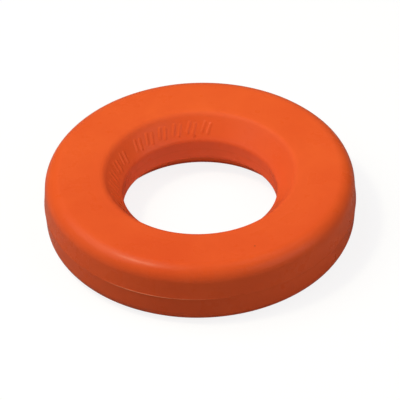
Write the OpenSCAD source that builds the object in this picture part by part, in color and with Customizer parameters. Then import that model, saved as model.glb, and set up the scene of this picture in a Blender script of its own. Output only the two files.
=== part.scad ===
// Flying ring: a throw-and-catch ring moulded as two soft half shells that are
// welded on the mid-plane, over a foam core with a stiff hoop in it.
//
// Frame: Z is the ring's own axis, +Z up, and the origin is the centre of the
// ring on the joint plane. Millimetres.

/* [Ring] */
// Outside diameter of the wall at the joint
ring_d = 180; // [150:1:200]
// Overall thickness, face to face
ring_h = 38.6; // [34:0.2:44]
// Diameter of the straight bore
bore_d = 89; // [80:1:96]
// How much smaller in radius the wall is at the shoulder than at the joint
wall_draft = 0.7; // [0.2:0.1:1.2]
// Radius of the rounded outer shoulder
shoulder_r = 9.4; // [7:0.2:11]

/* [Bevel] */
// Diameter at which the bevel would meet the flat face
bevel_top_d = 111; // [106:1:118]
// Height above the joint at which the bevel meets the bore
bevel_foot_z = 6.2; // [5.4:0.2:8]
// Rounding where the bevel meets the flat face
bevel_edge_r = 5; // [4:0.5:7]
// Rounding where the bevel meets the bore
bore_edge_r = 4; // [3.8:0.2:6]

/* [Shells] */
// Wall thickness of each half shell
wall = 3; // [2.6:0.1:3.4]
// Width of the thickened joint flange
flange_w = 7; // [6.6:0.2:8]
// Height of the joint flange before it tapers into the wall
flange_h = 3.6; // [3.2:0.2:4.2]
// Width of the tongue on the joint face
tongue_w = 2; // [1.6:0.1:2.2]
// Height of the tongue
tongue_h = 2.2; // [1.6:0.1:2.6]
// Gap round the tongue in its groove
tongue_gap = 0.1; // [0.05:0.05:0.2]

/* [Weld beads] */
// Half the width of the weld bead on the outer wall
bead_w = 0.55; // [0.4:0.05:0.7]
// How far the outer bead stands proud of the wall
bead_out = 0.2; // [0.1:0.02:0.4]
// How far the bore bead stands proud of the bore
bead_in = 0.08; // [0.04:0.02:0.2]

/* [Raised marks] */
// Angle round the ring of the middle of the longer group of marks
long_group_angle = 110; // [90:1:120]
// Number of marks in the longer group
long_group_count = 6; // [2:1:6]
// Angle round the ring of the middle of the shorter group of marks
short_group_angle = 172.5; // [170:0.5:200]
// Number of marks in the shorter group
short_group_count = 5; // [1:1:5]
// Pitch of the marks, in degrees
mark_pitch = 10.2; // [9.6:0.2:10.4]
// Length of a mark up the bevel
mark_len = 7.6; // [6:0.2:8.2]
// Width of each of the two bars that make one mark
bar_w = 1.7; // [1.2:0.1:1.9]
// Distance between the two bars of a mark, centre to centre
bar_gap = 3.4; // [2.6:0.1:4]
// Slant of the marks
mark_slant = 16; // [0:1:20]
// How far the marks stand proud
mark_h = 0.3; // [0.2:0.05:0.6]

/* [Core and hoop] */
// Gap between the foam core and the curved walls of the shells
core_gap = 0.25; // [0.1:0.05:0.5]
// Thickness of the stiffening hoop
hoop_t = 2.4; // [2:0.2:3]
// Width of the rebate in the joint flange that grips the hoop
rebate_w = 1.8; // [1.4:0.1:2]
// Number of holes through the hoop
hoop_holes = 12; // [6:1:16]
// Diameter of the holes through the hoop
hoop_hole_d = 14; // [8:1:16]

/* [Vent] */
// Angle of the vent round the upper bevel
vent_angle = 92.4; // [80:0.2:100]
// Distance of the vent up the bevel from the bore corner
vent_up = 2.1; // [1.9:0.1:2.6]
// Bore of the vent
vent_d = 1.8; // [1.4:0.1:2.2]
// Length of the plug
plug_len = 4.2; // [3:0.2:5]
// Depth of the plug's face below the bevel
vent_sink = 0.2; // [0.1:0.05:0.4]

/* [Hidden] */
$fn = 180;
eps = 0.01;

R = ring_d / 2;
H = ring_h / 2;
B = bore_d / 2;
C = bevel_top_d / 2;

// slope of the bevel above the horizontal, and its unit vectors up and into it
bevel_a = atan2(H - bevel_foot_z, C - B);
bevel_len = norm([C - B, H - bevel_foot_z]);
up_slope = [cos(bevel_a), sin(bevel_a)];

shell_orange = "#ea5f28";
bead_orange = "#e2561f";

// tangent point on a circle at c of radius r, for the line that reaches it from p
// and passes it on its outer side
function tangent(p, c, r) =
    let (v = p - c, d = norm(v), a = atan2(v[1], v[0]), b = acos(r / d))
    c + r * [cos(a + b), sin(a + b)];

// a half section of the ring above the joint plane, inset by a distance
module half_section(inset = 0) {
    rs = max(shoulder_r - inset, 0.8);
    rt = max(bevel_edge_r - inset, 0.8);
    rf = max(bore_edge_r - inset, 0.8);
    p0 = [R - inset, 0];
    h = H - inset;
    b = B + inset;
    c = C + inset * tan(bevel_a / 2);
    f = bevel_foot_z - inset * tan(45 - bevel_a / 2);
    tl = rt * tan(bevel_a / 2);
    tf = rf * tan(45 - bevel_a / 2);
    cs = [R - inset - wall_draft - rs, h - rs];
    ct = [c + tl, h - rt];
    cf = [b + rf, f - tf];
    t1 = tangent(p0, cs, rs);
    t2 = [c, h] - tl * up_slope;
    t3 = [b, f] + tf * up_slope;
    polygon([[b, 0], p0, t1, cs, [cs[0], h], [ct[0], h], ct, t2, t3, cf, [b, cf[1]]]);
    translate(cs) rotate(225) circle(rs);
    translate(ct) rotate(290) circle(rt);
    translate(cf) circle(rf);
}

// the room inside one half shell, clear of its two joint flanges
module cavity_section(inset) {
    w = flange_w + inset - wall;
    difference() {
        half_section(inset);
        polygon([[R - w, -1], [R - w, flange_h], [R - inset - wall_draft, flange_h + w - inset],
                 [R + 1, flange_h + w - inset], [R + 1, -1]]);
        polygon([[B + w, -1], [B + w, flange_h], [B + inset, flange_h + w - inset],
                 [B - 1, flange_h + w - inset], [B - 1, -1]]);
    }
}

// small right-angled chamfers at the joint, which the weld beads fill
module bead_chamfers() {
    polygon([[R - bead_w, 0], [R, bead_w], [R + 1, bead_w], [R + 1, -1], [R - bead_w, -1]]);
    polygon([[B + bead_w, 0], [B, bead_w], [B - 1, bead_w], [B - 1, -1], [B + bead_w, -1]]);
}

tongue_out = R - 2.6;           // middle of the outer tongue
tongue_in = B + 2.8;            // middle of the bore tongue
rebate_out = R - flange_w + rebate_w;
rebate_in = B + flange_w - rebate_w;

module half_shell() {
    rotate_extrude() difference() {
        half_section();
        cavity_section(wall);
        bead_chamfers();
        // rebates that grip the hoop's two rims
        translate([rebate_out - 10, -1]) square([10, 1 + hoop_t / 2]);
        translate([rebate_in, -1]) square([10, 1 + hoop_t / 2]);
    }
}

// one round-ended bar
module bar() {
    translate([-bar_w / 2, -(mark_len - bar_w) / 2]) square([bar_w, mark_len - bar_w]);
    translate([0, (mark_len - bar_w) / 2]) circle(bar_w / 2, $fn = 48);
    translate([0, -(mark_len - bar_w) / 2]) circle(bar_w / 2, $fn = 48);
}

// X runs clockwise round the ring, Y up the slope, Z out of the bevel
module on_bevel(a, s) {
    rotate([0, 0, a])
        translate([B + s * up_slope[0], 0, bevel_foot_z + s * up_slope[1]])
            multmatrix([[0, up_slope[0], -up_slope[1], 0],
                        [-1, 0, 0, 0],
                        [0, up_slope[1], up_slope[0], 0],
                        [0, 0, 0, 1]])
                children();
}

// one group of plain marks, each a pair of slanted bars
module mark_group(middle, count) {
    for (k = [0 : count - 1])
        on_bevel(middle + (k - (count - 1) / 2) * mark_pitch, bevel_len * 0.44)
            rotate([0, 0, -mark_slant]) for (side = [-0.5, 0.5])
                translate([side * bar_gap, 0, -0.8]) linear_extrude(mark_h + 0.8) bar();
}

module marks() {
    mark_group(long_group_angle, long_group_count);
    mark_group(short_group_angle, short_group_count);
}

module tongues(gap, h) {
    for (m = [tongue_out, tongue_in])
        translate([m - tongue_w / 2 - gap, -eps]) square([tongue_w + 2 * gap, h + eps]);
}

module upper_shell() {
    color(shell_orange) difference() {
        union() {
            half_shell();
            marks();
        }
        rotate_extrude() tongues(tongue_gap, tongue_h + 2 * tongue_gap);
        // vent through the bevel and the joint flange, into the room for the foam
        on_bevel(vent_angle, vent_up) translate([0, 0, -8.4]) cylinder(d = vent_d, h = 10);
    }
}

module lower_shell() {
    color(shell_orange) union() {
        // the same moulding turned over, with tongues in place of grooves
        rotate([180, 0, 0]) union() {
            half_shell();
            marks();
        }
        rotate_extrude() for (m = [tongue_out, tongue_in])
            translate([m - tongue_w / 2, -1]) square([tongue_w, tongue_h + 1]);
    }
}

module outer_weld_bead() {
    color(bead_orange) rotate_extrude()
        polygon([[R - bead_w, 0], [R, -bead_w], [R + bead_out * 0.7, -bead_w * 0.5], [R + bead_out, 0],
                 [R + bead_out * 0.7, bead_w * 0.5], [R, bead_w]]);
}

module bore_weld_bead() {
    color(bead_orange) rotate_extrude()
        polygon([[B + bead_w, 0], [B, bead_w], [B - bead_in * 0.7, bead_w * 0.5], [B - bead_in, 0],
                 [B - bead_in * 0.7, -bead_w * 0.5], [B, -bead_w]]);
}

module hoop_hole_places() {
    for (k = [0 : hoop_holes - 1]) rotate([0, 0, (k + 0.5) * 360 / hoop_holes])
        translate([(rebate_out + rebate_in) / 2, 0, 0]) children();
}

// one half of the foam filling, seated on the hoop and against the shell's flat face
module half_core() {
    rotate_extrude() difference() {
        intersection() {
            cavity_section(wall + core_gap);
            translate([0, hoop_t / 2]) square([R, H - wall - hoop_t / 2]);
        }
    }
    // the last of the gap over the flat face, so that the foam backs it
    translate([0, 0, H - wall - core_gap - eps]) difference() {
        cylinder(r = R - 14, h = core_gap + eps);
        translate([0, 0, -1]) cylinder(r = C + 6, h = 2 + core_gap);
    }
    // pegs that key the foam into the hoop's holes
    hoop_hole_places() cylinder(d = hoop_hole_d - 0.6, h = hoop_t / 2 + eps);
}

module upper_core() {
    color("#e9e4d6") difference() {
        half_core();
        // pocket in front of the vent's inner end
        on_bevel(vent_angle, vent_up) translate([0, 0, -10.4]) cylinder(d = 3, h = 9);
    }
}

module lower_core() {
    color("#e9e4d6") rotate([180, 0, 0]) half_core();
}

module stiffening_hoop() {
    color("#d9dde0") difference() {
        translate([0, 0, -hoop_t / 2]) cylinder(r = rebate_out - 0.15, h = hoop_t);
        translate([0, 0, -hoop_t]) cylinder(r = rebate_in + 0.15, h = 2 * hoop_t);
        hoop_hole_places() translate([0, 0, -hoop_t]) cylinder(d = hoop_hole_d, h = 2 * hoop_t);
    }
}

module vent_plug() {
    color(bead_orange) on_bevel(vent_angle, vent_up) {
        translate([0, 0, -plug_len]) cylinder(d = vent_d, h = plug_len - vent_sink);
        translate([0, 0, -plug_len - 0.6]) cylinder(d1 = vent_d - 0.8, d2 = vent_d, h = 0.6);
    }
}

upper_shell();
lower_shell();
outer_weld_bead();
bore_weld_bead();
upper_core();
lower_core();
stiffening_hoop();
vent_plug();
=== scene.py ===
import math

import bpy
import numpy as np
from mathutils import Matrix, Vector, noise


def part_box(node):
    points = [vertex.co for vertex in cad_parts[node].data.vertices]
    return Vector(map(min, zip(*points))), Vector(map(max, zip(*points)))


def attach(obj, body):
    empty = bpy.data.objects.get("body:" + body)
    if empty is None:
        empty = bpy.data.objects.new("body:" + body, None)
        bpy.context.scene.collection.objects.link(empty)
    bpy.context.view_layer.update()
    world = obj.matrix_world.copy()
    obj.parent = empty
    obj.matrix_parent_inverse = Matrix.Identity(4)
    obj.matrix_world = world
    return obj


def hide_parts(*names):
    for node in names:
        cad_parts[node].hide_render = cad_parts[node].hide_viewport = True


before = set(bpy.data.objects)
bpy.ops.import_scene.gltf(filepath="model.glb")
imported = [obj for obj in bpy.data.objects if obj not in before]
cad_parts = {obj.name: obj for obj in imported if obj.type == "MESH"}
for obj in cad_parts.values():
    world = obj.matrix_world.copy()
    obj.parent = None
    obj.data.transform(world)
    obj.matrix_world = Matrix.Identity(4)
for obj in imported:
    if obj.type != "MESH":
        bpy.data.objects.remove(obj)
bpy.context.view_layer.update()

MM = 0.001

# ---------------------------------------------------------------- the ring's section, as in the CAD model (mm)
R, H, B = 90.0, 19.3, 44.5            # outer radius, half the thickness, bore radius
C, F = 55.5, 6.2                      # bevel mouth radius, height of the bevel's foot
DRAFT, RS, RT, RF = 0.7, 9.4, 5.0, 4.0
WALL, FLANGE_W, FLANGE_H = 3.0, 7.0, 3.6
TONGUE_W, TONGUE_H, TONGUE_GAP = 2.0, 2.2, 0.1
REBATE, HOOP_HALF = 1.8, 1.2
BEAD = 0.55
LONG_MID, LONG_N, SHORT_MID, SHORT_N = 110.0, 6, 172.5, 5
PITCH, MARK_LEN, BAR_W, BAR_GAP, SLANT, MARK_H = 10.2, 7.6, 1.7, 3.4, 16.0, 0.3
VENT_ANGLE, VENT_UP, VENT_D, VENT_SINK, PLUG_LEN = 92.4, 2.1, 1.8, 0.2, 4.2

A = math.atan2(H - F, C - B)
U = np.array([math.cos(A), math.sin(A)])          # up the bevel
N = np.array([-math.sin(A), math.cos(A)])         # out of the bevel
BEVEL_LEN = math.hypot(C - B, H - F)


def rows():
    """The upper half's closed section, as (r, z, outward normal, kind), from the bore chamfer round to the joint face."""
    out = []

    def add(p, n, kind):
        out.append((float(p[0]), float(p[1]), float(n[0]), float(n[1]), kind))

    def line(p, q, count, n, kind, first=False):
        for i in range(0 if first else 1, count + 1):
            t = i / count
            add((p[0] + (q[0] - p[0]) * t, p[1] + (q[1] - p[1]) * t), n, kind)

    def arc(c, r, a0, a1, count, kind):
        for i in range(1, count + 1):
            a = math.radians(a0 + (a1 - a0) * i / count)
            add((c[0] + r * math.cos(a), c[1] + r * math.sin(a)), (math.cos(a), math.sin(a)), kind)

    ad = math.degrees(A)
    tl, tf = RT * math.tan(A / 2), RF * math.tan(math.pi / 4 - A / 2)
    cs = np.array([R - DRAFT - RS, H - RS])
    ct = np.array([C + tl, H - RT])
    cf = np.array([B + RF, F - tf])
    t3 = np.array([B, F]) + tf * U
    t2 = np.array([C, H]) - tl * U

    def tangent(p, c, r):
        v = np.array(p) - c
        a = math.atan2(v[1], v[0]) + math.acos(r / math.hypot(*v))
        return math.degrees(a)

    wall_a = tangent((R, 0), cs, RS)
    wall_n = (math.cos(math.radians(wall_a)), math.sin(math.radians(wall_a)))
    t1 = cs + RS * np.array(wall_n)
    slope = (t1[0] - R) / t1[1]
    foot = (R + slope * BEAD, BEAD)

    # outside
    add((B + BEAD, 0), (-1, 0), "joint")
    add((B, BEAD), (-1, 0), "joint")
    line((B, BEAD), (B, cf[1]), 8, (-1, 0), "bore")
    arc(cf, RF, 180, 90 + ad, 14, "foot")
    s3, s2 = tf, BEVEL_LEN - tl
    fine = list(np.arange(s3, 12.2, 0.22)) + list(np.arange(12.2, s2, 0.5)) + [s2]
    for s in fine[1:]:
        add(np.array([B, F]) + s * U, N, "bevel")
    arc(ct, RT, 90 + ad, 90, 44, "edge")
    line((ct[0], H), (cs[0], H), 14, (0, 1), "flat")
    arc(cs, RS, 90, wall_a, 30, "shoulder")
    line(t1, foot, 12, wall_n, "wall")
    add((R - BEAD, 0), (1, 0), "joint")

    # joint face, groove or tongue, rebate and cavity
    def key(mid, outward):
        half = TONGUE_W / 2 + TONGUE_GAP
        a, b = mid + outward * half, mid - outward * half
        return [(a, 0), (a, "key"), (b, "key"), (b, 0)]

    rebate_out, rebate_in = R - FLANGE_W + REBATE, B + FLANGE_W - REBATE
    rs2, rt2 = RS - WALL, max(RT - WALL, 0.8)
    h2 = H - WALL
    p2 = (R - WALL, 0)
    wa2 = tangent(p2, cs, rs2)
    f2 = F - WALL * math.tan(math.pi / 4 - A / 2)
    c2 = C + WALL * math.tan(A / 2)
    tl2 = rt2 * math.tan(A / 2)
    ct2 = (c2 + tl2, h2 - rt2)
    d = ((B + FLANGE_W) + FLANGE_H - (B + WALL) - f2) / (U[0] + U[1])
    meet = np.array([B + WALL, f2]) + d * U
    inner = key(R - 2.6, 1) + [(rebate_out, 0), (rebate_out, HOOP_HALF), (R - FLANGE_W, HOOP_HALF), (R - FLANGE_W, FLANGE_H),
                               (R - WALL - DRAFT, FLANGE_H + FLANGE_W - WALL)]
    inner += [(cs[0] + rs2 * math.cos(math.radians(a)), cs[1] + rs2 * math.sin(math.radians(a)))
              for a in np.linspace(wa2, 90, 10)]
    inner += [(ct2[0] + rt2 * math.cos(math.radians(a)), ct2[1] + rt2 * math.sin(math.radians(a)))
              for a in np.linspace(90, 90 + ad, 6)]
    inner += [tuple(meet), (B + FLANGE_W, FLANGE_H), (B + FLANGE_W, HOOP_HALF), (rebate_in, HOOP_HALF), (rebate_in, 0)]
    inner += key(B + 2.8, 1)
    for p in inner:
        out.append((p[0], p[1], 0.0, 0.0, "inside"))
    return out


def angles(turned):
    """Angles round the ring, in degrees: close together where the marks and the vent are."""
    zones = [(LONG_MID - 33, LONG_MID + 31), (SHORT_MID - 25, SHORT_MID + 26)]
    out, a = [], 0.0
    while a < 360 - 1e-6:
        out.append(a)
        a += 0.28 if any(lo <= a < hi for lo, hi in zones) else 1.25
    out = np.array(out)
    return np.sort((-out) % 360) if turned else out


def smooth(x):
    x = np.clip(x, 0, 1)
    return x * x * (3 - 2 * x)


def mark_frames(turned):
    """Origin, X, Y and normal of each raised mark's frame, one per pair of bars."""
    out = []
    for mid, n in ((LONG_MID, LONG_N), (SHORT_MID, SHORT_N)):
        for k in range(n):
            a = math.radians(mid + (k - (n - 1) / 2) * PITCH)
            s = BEVEL_LEN * 0.44
            r, z = np.array([B, F]) + s * U
            o = np.array([r * math.cos(a), r * math.sin(a), z])
            x = np.array([math.sin(a), -math.cos(a), 0])
            y = np.array([U[0] * math.cos(a), U[0] * math.sin(a), U[1]])
            out.append((o, x, y))
    return out


FRAMES = mark_frames(False)


def raised(p):
    """How far the marks lift the bevel at the points p (n x 3)."""
    h = np.zeros(len(p))
    c, s = math.cos(math.radians(SLANT)), math.sin(math.radians(SLANT))
    for o, x, y in FRAMES:
        d = p - o
        near = (d * d).sum(1) < 49
        if not near.any():
            continue
        lx, ly = d[near] @ x, d[near] @ y
        # the slant turns the marks' own axes
        qx, qy = lx * c - ly * s, lx * s + ly * c
        best = np.full(near.sum(), 9.0)
        for side in (-0.5, 0.5):
            ex = qx - side * BAR_GAP
            ey = np.maximum(np.abs(qy) - (MARK_LEN - BAR_W) / 2, 0)
            best = np.minimum(best, np.hypot(ex, ey) - BAR_W / 2)
        h[near] = np.maximum(h[near], MARK_H * smooth((0.45 - best) / 1.15))
    return h


def vent_frame():
    a = math.radians(VENT_ANGLE)
    r, z = np.array([B, F]) + VENT_UP * U
    o = np.array([r * math.cos(a), r * math.sin(a), z])
    x = np.array([math.sin(a), -math.cos(a), 0])
    y = np.array([U[0] * math.cos(a), U[0] * math.sin(a), U[1]])
    n = np.array([N[0] * math.cos(a), N[0] * math.sin(a), N[1]])
    return o, x, y, n


def wobble(p, seed, scale):
    return np.array([noise.noise(Vector((q[0] / scale + seed, q[1] / scale - seed, q[2] / scale + 2 * seed))) for q in p])


def shell(name, turned):
    prof = rows()
    th = np.radians(angles(turned))
    key_z = -TONGUE_H if turned else TONGUE_H + 2 * TONGUE_GAP
    cols = len(th)
    verts, kinds = [], []
    base = []
    for r, z, nr, nz, kind in prof:
        if z == "key":
            z = key_z
        base.append((r, z, nr, nz, kind))
    ct, st = np.cos(th), np.sin(th)
    grid = []
    for r, z, nr, nz, kind in base:
        p = np.stack([r * ct, r * st, np.full(cols, z)], 1)
        n = np.stack([nr * ct, nr * st, np.full(cols, nz)], 1)
        if kind in ("bevel", "foot"):
            # the upper half's marks sit at these angles; the lower half is the same moulding turned over
            q = p * np.array([1, -1, 1]) if turned else p
            p = p + n * raised(q)[:, None]
            if not turned:
                o, x, y, m = vent_frame()
                d = p - o
                rad = np.hypot(d @ x, d @ y)
                p = p - m * (0.5 * smooth((VENT_D / 2 + 0.12 - rad) / 0.30))[:, None]
        if kind == "edge":
            # the fine witness line that the mould's core ring left round the mouth of the bevel
            d = np.abs(math.degrees(math.atan2(nz, -nr)) - 68.0)
            a = np.degrees(th)
            near = np.exp(-(((a - 60 + 180) % 360 - 180) / 17.0) ** 2)
            p = p + n * ((0.012 + 0.055 * near) * math.exp(-(d / 2.6) ** 2))[:, None]
        if kind in ("edge", "flat", "shoulder", "wall", "foot", "bore", "bevel"):
            fade = smooth((abs(z) - BEAD) / 3.0)
            if kind in ("flat", "shoulder", "wall", "edge"):
                w = 0.5 + 0.5 * np.clip(wobble(p, 3.1 if turned else 7.7, 34.0) * 1.6, -1, 1)
                p = p - n * (0.09 * w * fade)[:, None]
        grid.append(p)
    co = np.concatenate(grid)
    if turned:
        co = co * np.array([1, 1, -1])
    rows_n = len(base)
    idx = np.arange(rows_n * cols).reshape(rows_n, cols)
    a = idx
    b = np.roll(idx, -1, axis=1)
    c = np.roll(b, -1, axis=0)
    d = np.roll(a, -1, axis=0)
    quads = np.stack([a, b, c, d], -1).reshape(-1, 4)
    if not turned:
        quads = quads[:, ::-1]
    me = bpy.data.meshes.new(name)
    me.from_pydata((co * MM).tolist(), [], quads.tolist())
    me.validate()
    ob = bpy.data.objects.new(name, me)
    bpy.context.scene.collection.objects.link(ob)
    finish_mesh(ob, 38)
    return ob


def finish_mesh(ob, angle):
    me = ob.data
    me.polygons.foreach_set("use_smooth", [True] * len(me.polygons))
    me.set_sharp_from_angle(angle=math.radians(angle))
    me.update()


def lathe(name, section, count, radial=None, angle=38):
    """A closed ring from a closed (r, z) section; radial(theta, i) may move each point."""
    th = np.radians(np.arange(count) * 360.0 / count)
    pts = []
    for i, (r, z) in enumerate(section):
        for t in th:
            rr, zz = radial(t, i, r, z) if radial else (r, z)
            pts.append((rr * math.cos(t) * MM, rr * math.sin(t) * MM, zz * MM))
    n = len(section)
    faces = []
    for i in range(n):
        for j in range(count):
            k, l = (i + 1) % n, (j + 1) % count
            faces.append((i * count + j, i * count + l, k * count + l, k * count + j))
    me = bpy.data.meshes.new(name)
    me.from_pydata(pts, [], faces)
    me.validate()
    ob = bpy.data.objects.new(name, me)
    bpy.context.scene.collection.objects.link(ob)
    finish_mesh(ob, angle)
    return ob


# ---------------------------------------------------------------- camera, at the photograph's viewing angle
def fitted_camera():
    el, dist, f, u0, v0, roll = 39.49, 23.1, 3600.0, 200.1, 197.1, -1.538
    el, roll = math.radians(el), math.radians(roll)
    back = np.array([0, -math.cos(el), math.sin(el)])
    pos = back * dist * R * MM
    fwd = -back
    right = np.array([1.0, 0, 0])
    up = np.cross(right, fwd)
    aim = np.array([(u0 - 200) / f, -(v0 - 200) / f, -1.0])
    aim /= np.linalg.norm(aim)
    m = np.stack([right, up, back])
    a = np.array([0, 0, -1.0])
    v, cc = np.cross(a, aim), a @ aim
    k = np.array([[0, -v[2], v[1]], [v[2], 0, -v[0]], [-v[1], v[0], 0]])
    turn = np.eye(3) + k + k @ k / (1 + cc)
    k = np.array([[0, -aim[2], aim[1]], [aim[2], 0, -aim[0]], [-aim[1], aim[0], 0]])
    spin = np.eye(3) + math.sin(roll) * k + (1 - math.cos(roll)) * k @ k
    m = spin @ turn @ m
    world = Matrix.Identity(4)
    for i in range(3):
        for j in range(3):
            world[i][j] = m[j][i]
        world[i][3] = pos[i]
    data = bpy.data.cameras.new("camera")
    data.sensor_width = 36
    data.lens = f / 400 * 36
    data.clip_start, data.clip_end = 0.1, 50
    cam = bpy.data.objects.new("camera", data)
    cam.matrix_world = world
    bpy.context.scene.collection.objects.link(cam)
    bpy.context.scene.camera = cam


fitted_camera()


# ---------------------------------------------------------------- materials
def material(name):
    m = bpy.data.materials.new(name)
    m.use_nodes = True
    nt = m.node_tree
    nt.nodes.clear()
    out = nt.nodes.new("ShaderNodeOutputMaterial")
    bs = nt.nodes.new("ShaderNodeBsdfPrincipled")
    nt.links.new(bs.outputs[0], out.inputs["Surface"])
    return m, nt, bs


def node(nt, kind, **sets):
    n = nt.nodes.new(kind)
    for k, v in sets.items():
        if k.startswith("in_"):
            key = k[3:]
            n.inputs[int(key) if key.isdigit() else key.replace("_", " ")].default_value = v
        else:
            setattr(n, k, v)
    return n


def math_node(nt, op, a=None, b=None, clamp=False):
    n = nt.nodes.new("ShaderNodeMath")
    n.operation = op
    n.use_clamp = clamp
    for i, v in enumerate((a, b)):
        if v is None:
            continue
        if isinstance(v, (int, float)):
            n.inputs[i].default_value = v
        else:
            nt.links.new(v, n.inputs[i])
    return n.outputs[0]


def mix_colour(nt, fac, a, b, mode="MIX"):
    n = nt.nodes.new("ShaderNodeMix")
    n.data_type = "RGBA"
    n.blend_type = mode
    n.clamp_factor = True
    for sock, v in ((n.inputs[0], fac), (n.inputs[6], a), (n.inputs[7], b)):
        if isinstance(v, (int, float)):
            sock.default_value = v
        elif isinstance(v, tuple):
            sock.default_value = v
        else:
            nt.links.new(v, sock)
    return n.outputs[2]


def noise_tex(nt, vec, scale, detail=2.0, rough=0.5, distort=0.0):
    n = nt.nodes.new("ShaderNodeTexNoise")
    n.inputs["Scale"].default_value = scale
    n.inputs["Detail"].default_value = detail
    n.inputs["Roughness"].default_value = rough
    n.inputs["Distortion"].default_value = distort
    nt.links.new(vec, n.inputs["Vector"])
    return n.outputs["Fac"]


def ramp(nt, fac, *stops):
    n = nt.nodes.new("ShaderNodeValToRGB")
    el = n.color_ramp.elements
    while len(el) < len(stops):
        el.new(0.5)
    for e, (pos, val) in zip(el, stops):
        e.position = pos
        e.color = (val, val, val, 1) if isinstance(val, (int, float)) else val
    nt.links.new(fac, n.inputs[0])
    return n.outputs[0]


BASE = (0.785, 0.1012, 0.0209, 1)
STREAK = 0.000022                     # height of the streaks, in metres


def soft_plastic(name, base=BASE, rough=0.29, specks=True, shift=(0, 0, 0)):
    m, nt, bs = material(name)
    tc = nt.nodes.new("ShaderNodeTexCoord")
    mp = nt.nodes.new("ShaderNodeMapping")
    mp.inputs["Location"].default_value = shift
    nt.links.new(tc.outputs["Object"], mp.inputs["Vector"])
    v = mp.outputs[0]
    darker = tuple(c * k for c, k in zip(base[:3], (0.955, 0.90, 0.90))) + (1,)
    lighter = tuple(min(c * k, 1) for c, k in zip(base[:3], (1.02, 1.09, 1.12))) + (1,)
    cloud = ramp(nt, noise_tex(nt, v, 26, 3, 0.55, 0.4), (0.32, 0), (0.7, 1))
    col = mix_colour(nt, cloud, darker, lighter)
    flow = ramp(nt, noise_tex(nt, v, 190, 4, 0.6, 0.2), (0.35, 0), (0.68, 1))
    col = mix_colour(nt, math_node(nt, "MULTIPLY", flow, 0.16), col, darker)
    grain = noise_tex(nt, v, 1700, 3, 0.6)
    col = mix_colour(nt, math_node(nt, "MULTIPLY", grain, 0.10), col, darker)
    # where the point is: radius from the axis in metres, and across the ring
    flat = node(nt, "ShaderNodeVectorMath", operation="MULTIPLY")
    flat.inputs[1].default_value = (1, 1, 0)
    nt.links.new(tc.outputs["Object"], flat.inputs[0])
    away = node(nt, "ShaderNodeVectorMath", operation="LENGTH")
    nt.links.new(flat.outputs[0], away.inputs[0])
    radius = away.outputs["Value"]
    where = nt.nodes.new("ShaderNodeSeparateXYZ")
    nt.links.new(tc.outputs["Object"], where.inputs[0])

    def span(value, lo, hi):
        n = node(nt, "ShaderNodeMapRange", interpolation_type="SMOOTHSTEP")
        nt.links.new(value, n.inputs["Value"])
        n.inputs["From Min"].default_value, n.inputs["From Max"].default_value = lo, hi
        return n.outputs["Result"]

    # painted light and shade: the far side is painted lighter and the near side darker, as the light falls across the
    # ring
    tone = mix_colour(nt, span(where.outputs[1], -R * MM, R * MM), (0.965, 0.955, 0.985, 1), (1.03, 1.125, 1.05, 1))
    col = mix_colour(nt, 1.0, col, tone, "MULTIPLY")
    # painted light: the right side is painted lighter than the left, as the light falls
    tone = mix_colour(nt, span(where.outputs[0], -R * MM, R * MM), (0.99, 0.955, 0.94, 1), (1.045, 0.995, 0.985, 1))
    col = mix_colour(nt, 1.0, col, tone, "MULTIPLY")
    # painted light: a paler, bluer tint painted over the bevel, the bore and the outer wall, standing in for the haze
    # of light in their shade
    hole = span(radius, (C + 2) * MM, (C - 2) * MM)
    side = span(radius, (R - 5) * MM, (R - 1) * MM)
    painted_haze_colour = tuple(base[i] * k for i, k in enumerate((0.99, 1.03, 1.5))) + (1,)
    bore = span(radius, (B + 3) * MM, (B + 0.6) * MM)
    painted_haze = math_node(nt, "ADD", math_node(nt, "MULTIPLY", hole, 0.50), math_node(nt, "MULTIPLY", side, 0.34))
    painted_haze = math_node(nt, "ADD", painted_haze, math_node(nt, "MULTIPLY", bore, 0.45))
    col = mix_colour(nt, painted_haze, col, painted_haze_colour)
    if specks:
        # rare dark specks of burnt plastic in the moulding
        vo = node(nt, "ShaderNodeTexVoronoi", feature="F1")
        vo.inputs["Scale"].default_value = 70
        nt.links.new(v, vo.inputs["Vector"])
        size = math_node(nt, "LESS_THAN", vo.outputs["Distance"], 0.016)
        rare = nt.nodes.new("ShaderNodeSeparateColor")
        nt.links.new(vo.outputs["Color"], rare.inputs[0])
        few = math_node(nt, "GREATER_THAN", rare.outputs[0], 0.86)
        col = mix_colour(nt, math_node(nt, "MULTIPLY", math_node(nt, "MULTIPLY", size, few), 0.7), col, (0.16, 0.03, 0.012, 1))
        # and the one that shows on the near side of the top face
        spot = node(nt, "ShaderNodeVectorMath", operation="DISTANCE")
        spot.inputs[1].default_value = (0.0299, -0.0676, 0.01925)
        nt.links.new(tc.outputs["Object"], spot.inputs[0])
        col = mix_colour(nt, math_node(nt, "MULTIPLY", span(spot.outputs["Value"], 0.62 * MM, 0.32 * MM), 0.6), col, (0.16, 0.03, 0.012, 1))
    nt.links.new(col, bs.inputs["Base Color"])
    rv = ramp(nt, noise_tex(nt, v, 60, 4, 0.6), (0.3, rough - 0.05), (0.72, rough + 0.07))
    fine = math_node(nt, "MULTIPLY_ADD", grain, 0.06)
    nt.nodes[-1].inputs[2].default_value = -0.03
    # the mouth of the bevel is rubbed matt
    rubbed = math_node(nt, "MULTIPLY", span(radius, (C - 3) * MM, (C - 1) * MM), span(radius, (C + 8) * MM, (C + 5) * MM))
    rv = math_node(nt, "ADD", rv, math_node(nt, "MULTIPLY", rubbed, 0.26))
    nt.links.new(math_node(nt, "ADD", rv, fine), bs.inputs["Roughness"])
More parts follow.
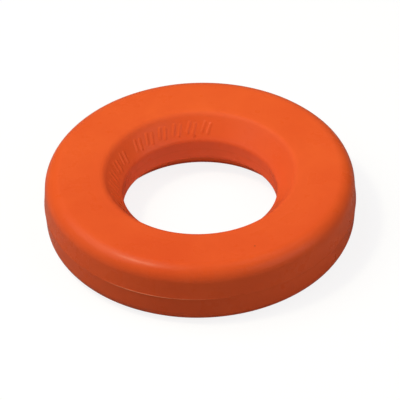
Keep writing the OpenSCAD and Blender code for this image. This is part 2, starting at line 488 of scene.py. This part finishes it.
    # moulded surface: a fine matt grain over very slight waves
    g = math_node(nt, "MULTIPLY", noise_tex(nt, v, 2600, 2, 0.5), 0.000012)
    w = math_node(nt, "MULTIPLY", noise_tex(nt, v, 110, 2, 0.45), 0.00004)
    bump = nt.nodes.new("ShaderNodeBump")
    bump.inputs["Strength"].default_value = 1.0
    bump.inputs["Distance"].default_value = 1.0
    # faint streaks round the shoulder, from the turned mould
    unit = node(nt, "ShaderNodeVectorMath", operation="NORMALIZE")
    nt.links.new(flat.outputs[0], unit.inputs[0])
    turn = node(nt, "ShaderNodeVectorMath", operation="MULTIPLY_ADD")
    turn.inputs[1].default_value = (7, 7, 7)
    nt.links.new(unit.outputs[0], turn.inputs[0])
    up = nt.nodes.new("ShaderNodeCombineXYZ")
    nt.links.new(math_node(nt, "MULTIPLY", math_node(nt, "SUBTRACT", radius, where.outputs[2]), 1100.0), up.inputs[2])
    nt.links.new(up.outputs[0], turn.inputs[2])
    streak = math_node(nt, "MULTIPLY", noise_tex(nt, turn.outputs[0], 1.0, 2, 0.5), STREAK)
    streak = math_node(nt, "MULTIPLY", streak, span(radius, (R - 14) * MM, (R - 9) * MM))
    nt.links.new(math_node(nt, "ADD", math_node(nt, "ADD", g, w), streak), bump.inputs["Height"])
    nt.links.new(bump.outputs[0], bs.inputs["Normal"])
    bs.inputs["Specular IOR Level"].default_value = 0.1
    return m


def foam():
    m, nt, bs = material("closed_cell_foam")
    tc = nt.nodes.new("ShaderNodeTexCoord")
    v = tc.outputs["Object"]
    vo = node(nt, "ShaderNodeTexVoronoi", feature="DISTANCE_TO_EDGE")
    vo.inputs["Scale"].default_value = 900
    nt.links.new(v, vo.inputs["Vector"])
    cell = ramp(nt, vo.outputs["Distance"], (0.0, 0), (0.12, 1))
    tone = noise_tex(nt, v, 40, 3)
    col = mix_colour(nt, cell, (0.56, 0.51, 0.42, 1), (0.80, 0.76, 0.66, 1))
    col = mix_colour(nt, math_node(nt, "MULTIPLY", tone, 0.25), col, (0.70, 0.63, 0.50, 1))
    nt.links.new(col, bs.inputs["Base Color"])
    nt.links.new(ramp(nt, cell, (0, 0.95), (1, 0.78)), bs.inputs["Roughness"])
    bump = nt.nodes.new("ShaderNodeBump")
    bump.inputs["Distance"].default_value = 0.0002
    nt.links.new(cell, bump.inputs["Height"])
    nt.links.new(bump.outputs[0], bs.inputs["Normal"])
    return m


def polypropylene():
    m, nt, bs = material("natural_polypropylene")
    tc = nt.nodes.new("ShaderNodeTexCoord")
    v = tc.outputs["Object"]
    tone = ramp(nt, noise_tex(nt, v, 45, 4), (0.35, 0), (0.65, 1))
    col = mix_colour(nt, tone, (0.62, 0.65, 0.66, 1), (0.74, 0.77, 0.78, 1))
    nt.links.new(col, bs.inputs["Base Color"])
    nt.links.new(ramp(nt, noise_tex(nt, v, 300, 3), (0.3, 0.30), (0.7, 0.42)), bs.inputs["Roughness"])
    bump = nt.nodes.new("ShaderNodeBump")
    bump.inputs["Distance"].default_value = 0.00005
    nt.links.new(noise_tex(nt, v, 1400, 2), bump.inputs["Height"])
    nt.links.new(bump.outputs[0], bs.inputs["Normal"])
    return m


def put(ob, mat):
    ob.data.materials.clear()
    ob.data.materials.append(mat)


# ---------------------------------------------------------------- the ring's outside
upper = shell("ring_shell_upper", False)
lower = shell("ring_shell_lower", True)
put(upper, soft_plastic("soft_plastic_upper"))
put(lower, soft_plastic("soft_plastic_lower", shift=(0.31, 0.17, 0.05)))


def gauss(t, mid, width):
    d = (math.degrees(t) - mid + 180) % 360 - 180
    return math.exp(-(d / width) ** 2)


def outer_bead():
    """The weld line on the outer wall: a fine uneven ridge, proudest on the front left."""
    pts = [(R - BEAD, 0.0), (R - 0.03, -BEAD + 0.01)]
    for z in (-0.50, -0.40, -0.32, -0.28, -0.24, -0.20, -0.16, -0.12, -0.06, 0.0, 0.08, 0.15, 0.18, 0.21, 0.24, 0.27, 0.30, 0.33, 0.36, 0.40, 0.48):
        rise = float(smooth(np.array((0.38 - z) / 0.20))) * float(smooth(np.array((z + 0.34) / 0.22)))
        pts.append((R + rise + 0.004, z))
    pts.append((R - 0.03, BEAD - 0.01))
    last = len(pts) - 1

    def move(t, i, r, z):
        if i in (0, 1, last):
            return r, z
        n = noise.noise(Vector((math.cos(t) * 14, math.sin(t) * 14, 3.3)))
        n2 = noise.noise(Vector((math.cos(t) * 60, math.sin(t) * 60, 9.1)))
        h = 0.022 + 0.155 * gauss(t, 247, 15) + 0.05 * gauss(t, 270, 13) + 0.02 * n + 0.014 * n2
        h = min(max(h, 0.012), 0.195)
        lift = (r - R) * h if r > R else r - R
        return R + lift, z + 0.05 * n

    ob = lathe("weld_line_outer", pts, 720, move, angle=60)
    # painted highlight: its proud crest is painted pale, where it catches the light
    co = np.array([v.co[:] for v in ob.data.vertices]) / MM
    proud = smooth((np.hypot(co[:, 0], co[:, 1]) - R - 0.05) / 0.10)
    ob.data.attributes.new("painted_highlight", "FLOAT", "POINT").data.foreach_set("value", proud.astype(np.float32))
    return ob


def bore_bead():
    pts = [(B + BEAD, 0.0), (B + 0.02, BEAD - 0.01), (B + 0.01, BEAD - 0.08), (B - 0.5, 0.26), (B - 1.0, 0.05), (B - 0.6, -0.25),
           (B + 0.01, -BEAD + 0.08), (B + 0.02, -BEAD + 0.01)]

    def move(t, i, r, z):
        if i in (0, 1, 7):
            return r, z
        n = noise.noise(Vector((math.cos(t) * 9, math.sin(t) * 9, 5.3)))
        h = min(max(0.02 + 0.02 * n, 0.008), 0.06)
        lift = (r - B) * h if r < B else r - B
        return B + lift, z + 0.04 * n

    return lathe("weld_line_bore", pts, 480, move, angle=70)


bead_o, bead_b = outer_bead(), bore_bead()
bead_mat = soft_plastic("weld_flash", base=(0.76, 0.096, 0.018, 1), rough=0.40, specks=False, shift=(0.05, 0.4, 0.1))
put(bead_o, bead_mat)
put(bead_b, bead_mat)


def painted_highlight(m, amount, pale):
    """Paint a highlight: lighten a material's colour by the mesh's attribute that marks the lit crest."""
    nt = m.node_tree
    bs = next(n for n in nt.nodes if n.type == "BSDF_PRINCIPLED")
    at = node(nt, "ShaderNodeAttribute", attribute_name="painted_highlight")
    col = bs.inputs["Base Color"].links[0].from_socket
    nt.links.new(mix_colour(nt, math_node(nt, "MULTIPLY", at.outputs["Fac"], amount), col, pale), bs.inputs["Base Color"])


# painted highlight along the weld line's crest
painted_highlight(bead_mat, 1.0, (0.88, 0.25, 0.125, 1))


def plug():
    """The vent plug: a small pin with a rounded, slightly dished face, sunk in the bevel."""
    o, x, y, n = vent_frame()
    q = VENT_D / 2
    prof = [(0.0, -VENT_SINK - 0.07), (q * 0.4, -VENT_SINK - 0.06), (q * 0.7, -VENT_SINK - 0.02), (q * 0.85, -VENT_SINK - 0.01),
            (q * 0.95, -VENT_SINK - 0.05), (q * 0.99, -VENT_SINK - 0.12), (q, -0.6), (q, -PLUG_LEN), (q - 0.4, -PLUG_LEN - 0.6), (0.0, -PLUG_LEN - 0.6)]
    count = 48
    pts, faces = [], []
    for r, z in prof[1:-1]:
        for j in range(count):
            t = 2 * math.pi * j / count
            pts.append(tuple((o + x * r * math.cos(t) + y * r * math.sin(t) + n * z) * MM))
    top, bottom = len(pts), len(pts) + 1
    pts.append(tuple((o + n * prof[0][1]) * MM))
    pts.append(tuple((o + n * prof[-1][1]) * MM))
    rings = len(prof) - 2
    for j in range(count):
        l = (j + 1) % count
        faces.append((top, l, j)[::-1])
        for i in range(rings - 1):
            faces.append((i * count + j, i * count + l, (i + 1) * count + l, (i + 1) * count + j)[::-1])
        faces.append((bottom, (rings - 1) * count + j, (rings - 1) * count + l)[::-1])
    me = bpy.data.meshes.new("vent_plug_detail")
    me.from_pydata(pts, [], faces)
    me.validate()
    ob = bpy.data.objects.new("vent_plug_detail", me)
    bpy.context.scene.collection.objects.link(ob)
    finish_mesh(ob, 50)
    return ob


pin = plug()
put(pin, soft_plastic("plug_plastic", base=(0.70, 0.088, 0.016, 1), rough=0.5, specks=False, shift=(0.2, 0.1, 0.3)))

# ---------------------------------------------------------------- carried-over CAD nodes, sealed inside
foam_mat, pp_mat = foam(), polypropylene()
put(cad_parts["upper_core"], foam_mat)
put(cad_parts["lower_core"], foam_mat)
put(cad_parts["stiffening_hoop"], pp_mat)

for piece, cad, slot in ((upper, "upper_shell", "shell"), (lower, "lower_shell", "shell"), (bead_o, "outer_weld_bead", "weld_bead"),
                         (bead_b, "bore_weld_bead", "weld_bead"), (pin, "vent_plug", "vent_plug")):
    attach(piece, "root")
    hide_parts(cad)

# ---------------------------------------------------------------- floor and light
FLOOR_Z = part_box("lower_shell")[0].z


def turned(name, prof, count=96):
    """A surface turned about Z from (r, z) points in metres that start on the axis."""
    pts, faces = [(0.0, 0.0, prof[0][1])], []
    for r, z in prof[1:]:
        for j in range(count):
            t = 2 * math.pi * j / count
            pts.append((r * math.cos(t), r * math.sin(t), z))
    for j in range(count):
        faces.append((0, 1 + j, 1 + (j + 1) % count))
    for i in range(len(prof) - 2):
        for j in range(count):
            u, v = 1 + i * count, 1 + (i + 1) * count
            k = (j + 1) % count
            faces.append((u + j, v + j, v + k, u + k))
    me = bpy.data.meshes.new(name)
    me.from_pydata(pts, [], faces)
    ob = bpy.data.objects.new(name, me)
    bpy.context.scene.collection.objects.link(ob)
    me.polygons.foreach_set("use_smooth", [True] * len(me.polygons))
    return ob


def seen_floor():
    """The pale floor, which turns up into a round backdrop. It is clear from behind, so that the ring can be seen from below."""
    prof = [(0, 0), (0.12, 0), (0.4, 0), (1.2, 0), (2.6, 0), (4.0, 0)]
    prof += [(4.0 + 1.2 * math.sin(t), 1.2 - 1.2 * math.cos(t)) for t in np.linspace(0.15, math.pi / 2, 10)]
    prof += [(5.2 * math.cos(t), 1.2 + 3.6 * math.sin(t)) for t in np.linspace(0.15, 1.5, 12)]
    ob = turned("floor", [(r, z + FLOOR_Z) for r, z in prof])
    m, nt, bs = material("pale_floor")
    tc = nt.nodes.new("ShaderNodeTexCoord")
    tone = noise_tex(nt, tc.outputs["Object"], 3.0, 3)
    nt.links.new(mix_colour(nt, tone, (0.145, 0.145, 0.145, 1), (0.155, 0.155, 0.155, 1)), bs.inputs["Base Color"])
    bs.inputs["Roughness"].default_value = 0.9
    bs.inputs["Specular IOR Level"].default_value = 0.1
    bs.inputs["Emission Color"].default_value = (1, 1, 1, 1)
    bs.inputs["Emission Strength"].default_value = 0.86
    clear, pick, side = (nt.nodes.new(k) for k in ("ShaderNodeBsdfTransparent", "ShaderNodeMixShader", "ShaderNodeNewGeometry"))
    nt.links.new(side.outputs["Backfacing"], pick.inputs[0])
    nt.links.new(bs.outputs[0], pick.inputs[1])
    nt.links.new(clear.outputs[0], pick.inputs[2])
    out = next(n for n in nt.nodes if n.type == "OUTPUT_MATERIAL")
    nt.links.new(pick.outputs[0], out.inputs["Surface"])
    put(ob, m)
    ob.visible_diffuse = ob.visible_glossy = ob.visible_shadow = False


def floor_light():
    """What lights the ring from below: the floor's own bounce, and a softly lit panel in it under the ring's hole."""
    ob = turned("floor_light", [(0, FLOOR_Z - 0.0001), (0.05, FLOOR_Z - 0.0001), (0.3, FLOOR_Z - 0.0001), (3.0, FLOOR_Z - 0.0001)])
    m, nt, bs = material("floor_light")
    tc = nt.nodes.new("ShaderNodeTexCoord")
    tone = noise_tex(nt, tc.outputs["Object"], 3.0, 3)
    # it lights the ring more than it shows in its gloss
    mirrored = nt.nodes.new("ShaderNodeLightPath").outputs["Is Glossy Ray"]
    pale = mix_colour(nt, tone, (0.44, 0.44, 0.44, 1), (0.46, 0.46, 0.46, 1))
    bs.inputs["Roughness"].default_value = 0.9
    bs.inputs["Specular IOR Level"].default_value = 0.1
    bs.inputs["Emission Color"].default_value = (1, 1, 1, 1)
    away = node(nt, "ShaderNodeVectorMath", operation="LENGTH")
    flat = node(nt, "ShaderNodeVectorMath", operation="MULTIPLY")
    flat.inputs[1].default_value = (1, 1, 0)
    nt.links.new(tc.outputs["Object"], flat.inputs[0])
    nt.links.new(flat.outputs[0], away.inputs[0])
    inside = math_node(nt, "LESS_THAN", away.outputs["Value"], B * MM)
    under = math_node(nt, "LESS_THAN", away.outputs["Value"], (R - 2) * MM)
    dim = mix_colour(nt, under, (0.27, 0.27, 0.27, 1), (0.07, 0.07, 0.07, 1))
    nt.links.new(mix_colour(nt, mirrored, pale, dim), bs.inputs["Base Color"])
    gloss = math_node(nt, "MULTIPLY_ADD", mirrored, -0.95)
    gloss.node.inputs[2].default_value = 1.0
    glow = math_node(nt, "ADD", math_node(nt, "MULTIPLY", inside, HOLE_GLOW - RING_GLOW), math_node(nt, "MULTIPLY", under, RING_GLOW))
    # under the face that the ring rests on, so that the face isn't black when it is looked at from below
    rest = ramp(nt, math_node(nt, "MULTIPLY", away.outputs["Value"], 10.0), (0.570, 0), (0.600, 1), (0.790, 1), (0.822, 0))
    glow = math_node(nt, "ADD", glow, math_node(nt, "MULTIPLY", rest, REST_GLOW))
    nt.links.new(math_node(nt, "MULTIPLY", glow, gloss), bs.inputs["Emission Strength"])
    put(ob, m)
    ob.visible_camera = False


HOLE_GLOW, RING_GLOW, REST_GLOW = 0.463, 0.047, 0.24
seen_floor()
floor_light()

# name, azimuth (0 is +X, 90 is +Y) and elevation in degrees, distance and side of the square panel in metres, watts
LIGHTS = [
    ("key_left", 193, 64, 1.6, 0.22, 9.5),
    ("softbox_left", 180, 58, 1.6, 1.4, 16.2),
    ("softbox_front_right", 330, 26, 1.6, 1.2, 7.5),
    ("fill_left", 180, 26, 1.6, 1.2, 1.4),
    ("fill_back", 90, 26, 1.6, 1.2, 1.0),
    ("near_back_left", 135, 54.7, 0.735, 0.4, 0.23),
    ("near_right", 0, 66.8, 0.762, 0.4, 0.62),
]
for name, az, el, away, side, watts in LIGHTS:
    az, el = math.radians(az), math.radians(el)
    place = Vector((math.cos(az) * math.cos(el), math.sin(az) * math.cos(el), math.sin(el))) * away
    data = bpy.data.lights.new(name, "AREA")
    data.shape = "RECTANGLE"
    data.size = data.size_y = side
    data.energy = watts
    if name == "key_left":
        data.color = (1.0, 0.96, 0.68)
    ob = bpy.data.objects.new(name, data)
    ob.location = place
    ob.rotation_euler = (-place).to_track_quat("-Z", "Y").to_euler()
    bpy.context.scene.collection.objects.link(ob)

world = bpy.data.worlds.new("studio")
bpy.context.scene.world = world
world.use_nodes = True
world.node_tree.nodes["Background"].inputs[0].default_value = (1, 1, 1, 1)
world.node_tree.nodes["Background"].inputs[1].default_value = 0.012

bpy.context.scene.view_settings.view_transform = "Standard"
bpy.context.scene.view_settings.look = "None"
